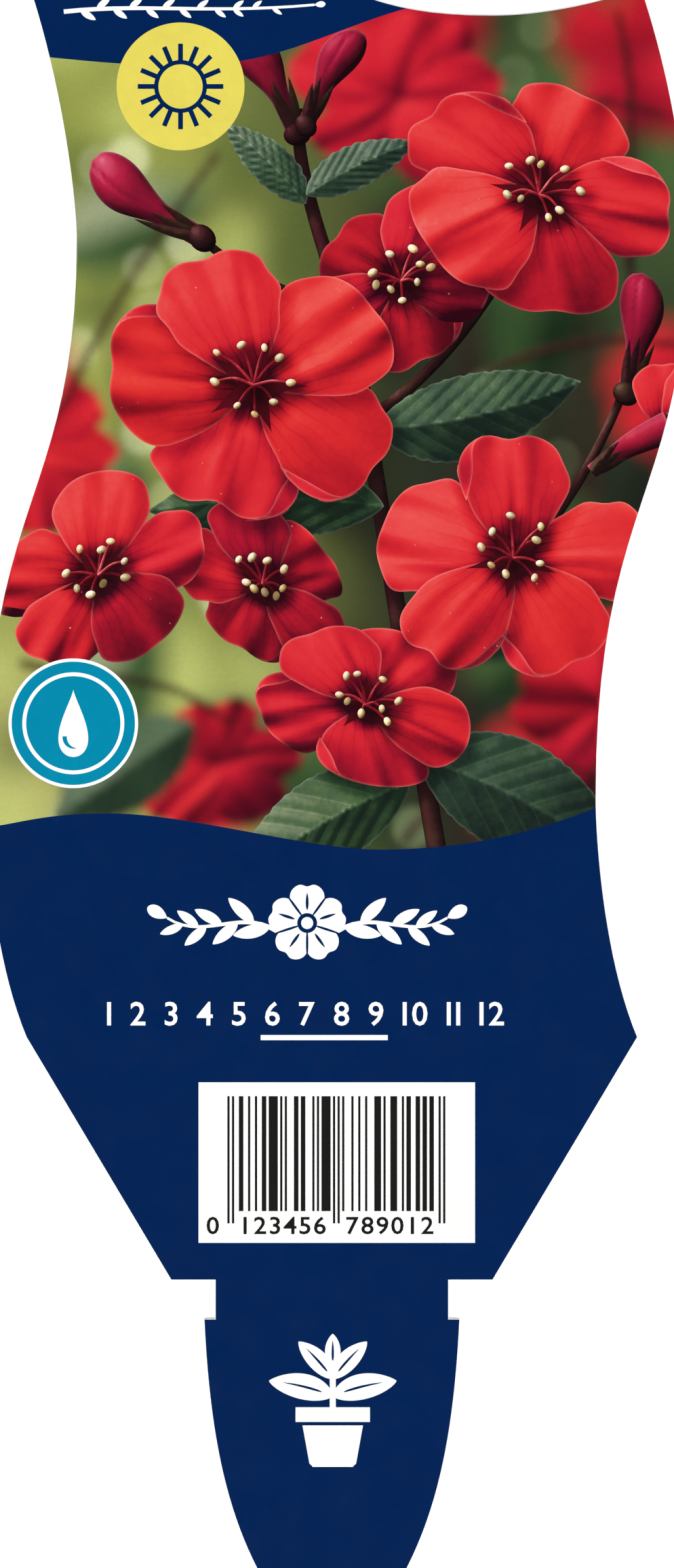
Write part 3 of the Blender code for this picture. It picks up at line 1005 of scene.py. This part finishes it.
def with_rim(tree, colour, tone, rim):
    """Mixes a light rim into a colour by the cube of how near the shape's edge is, times its tone."""
    near_edge = add(tree, "Attribute", attribute_name="rim", out="Fac")
    sharp = add(tree, "Math", {0: near_edge, 1: 3.0}, operation="POWER")
    lightened = add(tree, "Math", {0: sharp, 1: tone}, operation="MULTIPLY")
    part = add(tree, "Math", {0: lightened, 1: RIM_STRENGTH}, operation="MULTIPLY", use_clamp=True)
    return add(tree, "Mix", {0: part, 6: colour, 7: linear(rim)}, out=2, data_type="RGBA")


def with_specks(tree, colour, here, blotch):
    """Lays pale specks of pollen on a colour: the middles of cells 1.6 mm across, in patches."""
    cells = add(tree, "TexVoronoi", {"Vector": here, "Scale": 1 / (1.6 * MM)}, out="Distance")
    small = add(tree, "Math", {0: cells, 1: -16.0, 2: 1.2}, operation="MULTIPLY_ADD", use_clamp=True)
    patchy = add(tree, "Math", {0: blotch, 1: 8.0, 2: -4.3}, operation="MULTIPLY_ADD", use_clamp=True)
    chosen = add(tree, "Math", {0: small, 1: patchy}, operation="MULTIPLY")
    part = add(tree, "Math", {0: chosen, 1: 0.8}, operation="MULTIPLY")
    return add(tree, "Mix", {0: part, 6: colour, 7: linear("#ffd8cc")}, out=2, data_type="RGBA")


def picture_ink(
    name, palette, mottle=0.1, base=0.0, veins=0.0, count=3.0, ribs=0.0, rim="", specks=False
):
    """Four-colour print of a lit thing, in a palette that its tone runs through.

    Its tone is uneven by mottle, in grain 0.7 mm and blotches 3.5 mm across, and the shape's own (u, v)
    give its marks.
    """
    material, tree, sockets, here = varnished(name)
    tone = add(tree, "Attribute", attribute_name="tone", out="Fac")
    grain = add(tree, "TexNoise", {"Vector": here, "Scale": 1 / (0.7 * MM), "Detail": 4.0, "Roughness": 0.65})
    blotch = add(tree, "TexNoise", {"Vector": here, "Scale": 1 / (3.5 * MM), "Detail": 3.0})
    both = add(tree, "Math", {0: grain, 1: blotch}, operation="ADD")
    tone = add(tree, "Math", {0: both, 1: mottle, 2: tone}, operation="MULTIPLY_ADD")
    tone = add(tree, "Math", {0: tone, 1: mottle}, operation="SUBTRACT")
    place = add(tree, "UVMap", uv_map="motif")
    u = add(tree, "SeparateXYZ", {0: place}, out="X")
    v = add(tree, "SeparateXYZ", {0: place}, out="Y")
    if veins:
        tone = petal_marks(tree, tone, u, v, blotch, base, veins, count)
    if ribs:
        tone = leaf_marks(tree, tone, u, v, ribs)
    cool, warm = (add(tree, "ValToRGB", {0: tone}, stops=stops) for stops in PALETTES[palette])
    warmth = add(tree, "Attribute", attribute_name="warmth", out="Fac")
    drift = add(tree, "Math", {0: blotch, 1: 0.6, 2: -0.3}, operation="MULTIPLY_ADD")
    share = add(tree, "Math", {0: warmth, 1: drift}, operation="ADD", use_clamp=True)
    colour = add(tree, "Mix", {0: share, 6: cool, 7: warm}, out=2, data_type="RGBA")
    if rim:
        colour = with_rim(tree, colour, tone, rim)
    if specks:
        colour = with_specks(tree, colour, here, blotch)
    tree.links.new(colour, sockets["Base Color"])
    return material


def garden_ink():
    """Four-colour print of the blurred garden: the colours at the mesh's points, with faint camera grain."""
    material, tree, sockets, here = varnished("offset_print_of_blurred_garden")
    paint = add(tree, "Attribute", attribute_name="paint", out="Color")
    grain = add(tree, "TexNoise", {"Vector": here, "Scale": 1 / (0.4 * MM), "Detail": 2.0})
    times = add(tree, "Math", {0: grain, 1: 0.16, 2: 0.92}, operation="MULTIPLY_ADD")
    colour = add(tree, "VectorMath", {0: paint, "Scale": times}, operation="SCALE")
    tree.links.new(colour, sockets["Base Color"])
    return material


def inks():
    """Every material by its short name, in the order of the mesh's slots."""
    return {
        "garden": garden_ink(),
        "navy": solid_ink("navy_offset_ink", NAVY),
        "white": bare_sheet("varnished_white_polypropylene", 0.24),
        "black": solid_ink("black_offset_ink", BLACK),
        "yellow": solid_ink("yellow_offset_ink", YELLOW),
        "teal": solid_ink("teal_offset_ink", TEAL),
        "scarlet": picture_ink(
            "offset_print_of_petals", "scarlet", base=0.3, veins=0.15, rim="#ff9c92", specks=True
        ),
        "crimson": picture_ink("offset_print_of_buds", "crimson", veins=0.1, count=2.0, rim="#e88aa0"),
        "leaf": picture_ink("offset_print_of_leaves", "leaf", mottle=0.2, ribs=0.07, rim="#8fa088"),
        "stem": picture_ink("offset_print_of_stems", "stem", mottle=0.15),
        "filament": picture_ink("offset_print_of_filaments", "filament", mottle=0.08),
        "pollen": picture_ink("offset_print_of_anthers", "pollen", mottle=0.25),
        "core": bare_sheet("bare_white_polypropylene", 0.45),
    }


# The sheet


def cad_outline():
    """The label's outline: the loop round the CAD node's upward faces, with their loose corners joined."""
    mesh = bpy.data.objects[NODE].data
    points = np.array([v.co[:] for v in mesh.vertices]) / MM
    _, first, joined = np.unique(np.round(points, 3), axis=0, return_index=True, return_inverse=True)
    joined = joined.reshape(-1)
    upward = [[int(joined[i]) for i in face.vertices] for face in mesh.polygons if face.normal.z > 0.9]
    loop = max(closed_loops(rim_edges(upward)), key=len)
    return points[first[loop]][:, :2] - ORIGIN


def moved_out(ring, by):
    """A ring with each side moved out: a corner goes along its sides' normals over 1 plus their product."""
    side = np.roll(ring, -1, axis=0) - ring
    normal = np.stack([side[:, 1], -side[:, 0]], 1) / np.linalg.norm(side, axis=1, keepdims=True)
    before = np.roll(normal, 1, axis=0)
    return ring + by * (before + normal) / (1 + (before * normal).sum(1, keepdims=True))


def lattice(left, right, bottom, top, step):
    """Rows of points a step apart, every second row moved half a step, so that they make even triangles."""
    x, y = np.meshgrid(np.arange(left, right, step), np.arange(bottom, top, step * math.sqrt(3) / 2))
    x = x + (np.arange(len(x)) % 2)[:, None] * step / 2
    return np.stack([x.ravel(), y.ravel()], 1)


def with_short_sides(ring, longest):
    """A ring with each side cut into even parts, none longer than longest."""
    ahead = np.roll(ring, -1, axis=0)
    parts = np.maximum(np.ceil(np.linalg.norm(ahead - ring, axis=1) / longest).astype(int), 1)
    side = np.repeat(np.arange(len(ring)), parts)
    share = (np.arange(len(side)) - np.repeat(np.cumsum(parts) - parts, parts)) / parts[side]
    return ring[side] + share[:, None] * (ahead - ring)[side]


def parted(motifs, loose):
    """Parts the plane along every ring. Gives the points, the triangles and each triangle's topmost shape.

    What the first shape, the sheet itself, doesn't hold is left out.
    """
    points, faces, owner = [], [], []
    for i, motif in enumerate(motifs):
        for ring in motif.rings:
            ring = ring if signed_area(ring) > 0 else ring[::-1]
            if motif.ink in PALETTES:
                ring = with_short_sides(ring, PICTURE_SIDE)
            faces.append(list(range(len(points), len(points) + len(ring))))
            owner.append(i)
            points += ring.tolist()
    points += loose.tolist()
    points, _, triangles, _, _, sources = delaunay_2d_cdt(points, [], faces, 1, MERGE, True)
    kept = [(t, owner[max(s)]) for t, s in zip(triangles, sources) if s and min(s) == 0]
    used, corner = np.unique([t for t, _ in kept], return_inverse=True)
    return np.array(points)[used], corner.reshape(-1, 3), np.array([i for _, i in kept])


# Where each patch of the label goes in the baked image, which is 1024 pixels square: the patch's corner in
# mm, its pixels per mm, the pixel of its lower left corner, and whether it is turned a quarter.
IMAGE_PX = 1024
PATCHES = {
    "picture": ((-40.7, 96.9), 8.6, (4, 4), False),
    "code": ((-15.45, 51.8), 16.0, (1018, 4), True),
    "ornament": ((-22.2, 83.6), 10.3, (828, 526), True),
    "months": ((-27.2, 74.6), 9.4, (892, 526), True),
    "plain": ((-40.7, -0.2), 1.15, (1017, 526), True),
    "pot": ((-8.6, 25.0), 7.3, (4, 897), False),
    "back": ((-40.7, -0.2), 1.45, (432, 897), True),
}
# The sheet's edge is unrolled there into a strip, and these are the heights in it of the edge's four rows
# of points.
STRIP_PLACE, STRIP_HEIGHTS = (446, 1004), (12.0, 10.1, 1.9, 0.0)


def baked_place(patch, points):
    """Where points of a patch fall in the baked image, as shares of its side."""
    corner, scale, pixel, quarter = PATCHES[patch]
    own = (points - corner) * scale
    if quarter:
        own = np.stack([-own[:, 1], own[:, 0]], 1)
    return (own + pixel) / IMAGE_PX


def front_layers(motifs, picture_count, points, front, owner):
    """What each corner of the front holds, by the layer's name.

    These are its shape's tone, rim, warmth and pattern, the garden's paint, and its place in the baked image.
    """
    layers = {name: np.zeros(front.shape) for name in ("tone", "rim", "warmth")}
    layers["paint"] = np.ones((*front.shape, 4))
    layers["motif"], layers["OFBake"] = np.zeros((*front.shape, 2)), np.zeros((*front.shape, 2))
    for i in np.unique(owner):
        motif, mine = motifs[i], owner == i
        used, corner = np.unique(front[mine], return_inverse=True)
        corner, here = corner.reshape(-1, 3), points[used]
        layers["OFBake"][mine] = baked_place(motif.patch, here)[corner]
        if motif.ink == "garden":
            layers["paint"][mine, :, :3] = garden(here, np.random.default_rng(11))[corner]
        if motif.ink not in PALETTES:
            continue
        layers["tone"][mine] = shaded(motif, motifs[i + 1 : picture_count + 1], here)[corner]
        layers["rim"][mine] = (1 - np.clip(depth(motif.rings[0], here) / RIM_WIDTH, 0, 1))[corner]
        layers["warmth"][mine] = motif.warmth
        if motif.pattern:
            u, v = motif.pattern(*motif.place.back(here).T)
            layers["motif"][mine] = np.stack([u, v], 1)[corner]
    return layers


def edge_bands(rows, edge):
    """The triangles between rows of points round the sheet's edge, and their places in the baked strip.

    A place's x is how far along the edge it lies, at a pixel to the millimetre.
    """
    sides = np.linalg.norm(np.roll(edge, -1, axis=0) - edge, axis=1)
    right = np.cumsum(sides)
    left = right - sides
    faces, places = [], []
    for upper, lower, high, low in zip(rows, rows[1:], STRIP_HEIGHTS, STRIP_HEIGHTS[1:]):
        high, low = np.full(len(edge), high), np.full(len(edge), low)
        corners = [upper, np.roll(upper, -1), np.roll(lower, -1), lower]
        spots = [np.stack(pair, 1) for pair in ((left, high), (right, high), (right, low), (left, low))]
        for a, b, c in ((0, 3, 2), (0, 2, 1)):
            faces.append(np.stack([corners[a], corners[b], corners[c]], 1))
            places.append(np.stack([spots[a], spots[b], spots[c]], 1))
    return np.vstack(faces), (np.vstack(places) + STRIP_PLACE) / IMAGE_PX


def filled(layer, count):
    """A layer's numbers in one row, with noughts for what it lacks of count faces."""
    row = np.zeros((count, *layer.shape[1:]), np.float32)
    row[: len(layer)] = layer
    return row.ravel()


def printed_mesh(verts, faces, face_inks, layers, paints):
    """A mesh with each face's ink, and the layers at its corners."""
    mesh = bpy.data.meshes.new("printed_label")
    mesh.from_pydata((verts * MM).tolist(), [], faces.tolist())
    for material in paints.values():
        mesh.materials.append(material)
    slots = {name: slot for slot, name in enumerate(paints)}
    mesh.polygons.foreach_set("material_index", [slots[name] for name in face_inks])
    for name, kind, key in (
        ("tone", "FLOAT", "value"), ("rim", "FLOAT", "value"), ("warmth", "FLOAT", "value"),
        ("paint", "FLOAT_COLOR", "color"),
    ):
        mesh.attributes.new(name, kind, "CORNER").data.foreach_set(key, filled(layers[name], len(faces)))
    for name in ("motif", "OFBake"):
        mesh.uv_layers.new(name=name).uv.foreach_set("vector", filled(layers[name], len(faces)))
    mesh.update()
    return mesh


def label_mesh(motifs, picture_count, paints):
    """The whole sheet as one closed mesh: the printed front, the chamfered edge and the plain back."""
    face_edge = moved_out(cad_outline(), -CHAMFER)
    motifs = [Motif("garden", [face_edge])] + motifs
    fine, coarse = lattice(*PICTURE_AREA, PICTURE_STEP), lattice(*PLAIN_AREA, PLAIN_STEP)
    fine = fine[depth(face_edge, fine) > PICTURE_CLEAR]
    coarse = coarse[depth(face_edge, coarse) > PLAIN_CLEAR]
    points, front, owner = parted(motifs, np.vstack([fine, coarse]))
    layers = front_layers(motifs, picture_count, points, front, owner)

    loop = max(closed_loops(rim_edges(front.tolist())), key=len)
    edge = points[loop]
    wide = moved_out(edge, CHAMFER)
    back, back_faces, _ = parted([Motif("core", [edge])], coarse)
    back_faces = back_faces[:, ::-1]
    levels = [(points, FRONT_Z), (wide, FRONT_Z - CHAMFER), (wide, BACK_Z + CHAMFER), (back, BACK_Z)]
    verts = np.vstack([np.column_stack([flat + ORIGIN, np.full(len(flat), z)]) for flat, z in levels])
    starts = np.cumsum([len(flat) for flat, _ in levels])
    along = np.arange(len(edge))
    back_loop = np.array([np.abs(back - place).sum(1).argmin() for place in edge])
    bands, band_places = edge_bands([loop, starts[0] + along, starts[1] + along, starts[2] + back_loop], edge)
    faces = np.vstack([front, bands, starts[2] + back_faces])
    layers["OFBake"] = np.vstack([layers["OFBake"], band_places, baked_place("back", back)[back_faces]])
    face_inks = [motifs[i].ink for i in owner] + ["core"] * (len(faces) - len(front))
    return printed_mesh(verts, faces, face_inks, layers, paints)


picture = spray(np.random.default_rng(7))
signs = navy_bands() + sun_sign() + water_sign() + shop_code()
signs += flower_ornament() + month_scale() + pot_sign()
signs += garland([(-31.0, 194.2), (-22.0, 195.2), (-14.0, 193.9), (-2.0, 195.0)], 2.1, 13, "picture")
label = linked("printed_label", label_mesh(picture + signs, len(picture), inks()))
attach(label, "root")
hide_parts(NODE)


# Stage: a white table under soft lights, seen from above

FLOOR_REACH, FLOOR_DROP, FLOOR_GLOW = 12000.0, 0.03, 0.22

# Two lights beside the label, placed so that its varnish doesn't mirror them straight to its front, its sides
# or its back.
LIGHT_AZIMUTHS, LIGHT_ELEVATION, LIGHT_WIDTH, LIGHT_STRENGTH = (202.5, 337.5), 47, 20, 2.31


def floor():
    """A matt white acrylic table just under the label, faintly lit from below."""
    corners = box_ring(-FLOOR_REACH, FLOOR_REACH, -FLOOR_REACH, FLOOR_REACH)
    mesh = bpy.data.meshes.new("floor")
    mesh.from_pydata([(x * MM, y * MM, -FLOOR_DROP * MM) for x, y in corners], [], [(0, 1, 2, 3)])
    material = bpy.data.materials.new("matt_white_acrylic")
    material.use_nodes = True
    sockets = material.node_tree.nodes["Principled BSDF"].inputs
    sockets["Base Color"].default_value = (0.93, 0.93, 0.93, 1.0)
    sockets["Roughness"].default_value = 0.9
    sockets["Specular IOR Level"].default_value = 0.0
    sockets["Emission Color"].default_value = (1.0, 1.0, 1.0, 1.0)
    sockets["Emission Strength"].default_value = FLOOR_GLOW
    mesh.materials.append(material)
    linked("floor", mesh)


def soft_light(azimuth):
    """A soft light, LIGHT_WIDTH degrees across and so far away that it lights the table evenly."""
    light = bpy.data.lights.new("soft_light", "SUN")
    light.angle = math.radians(LIGHT_WIDTH)
    light.energy = LIGHT_STRENGTH
    tilt = math.radians(90 - LIGHT_ELEVATION)
    linked("soft_light", light).rotation_euler = (tilt, 0.0, math.radians(azimuth + 90))


def studio():
    """The room: pale walls beyond the table, and a dark ceiling that the varnish can mirror without a haze.

    The brightness falls with the height of the direction, which is its z.
    """
    world = bpy.data.worlds.new("studio")
    world.use_nodes = True
    tree = world.node_tree
    height = add(tree, "SeparateXYZ", {0: add(tree, "TexCoord", out="Generated")}, out="Z")
    stops = [(0.0, "#f6f6f6"), (0.06, "#f0f0f0"), (0.3, "#303030"), (1.0, "#202020")]
    walls = add(tree, "ValToRGB", {0: height}, stops=stops)
    tree.links.new(walls, tree.nodes["Background"].inputs["Color"])
    bpy.context.scene.world = world


def camera():
    """Straight above the view's middle, as high as the lens needs to see the photograph's length."""
    data = bpy.data.cameras.new("camera")
    data.lens = LENS
    data.sensor_fit = "VERTICAL"
    data.sensor_height = SENSOR
    obj = linked("camera", data)
    x, y = (VIEW_MIDDLE + ORIGIN) * MM
    far = PHOTO_HEIGHT_PX * MM_PER_PX * LENS / SENSOR
    obj.location = (x, y, (FRONT_Z + far) * MM)
    bpy.context.scene.camera = obj


floor()
for azimuth in LIGHT_AZIMUTHS:
    soft_light(azimuth)
studio()
bpy.context.scene.view_settings.view_transform = "Standard"
camera()
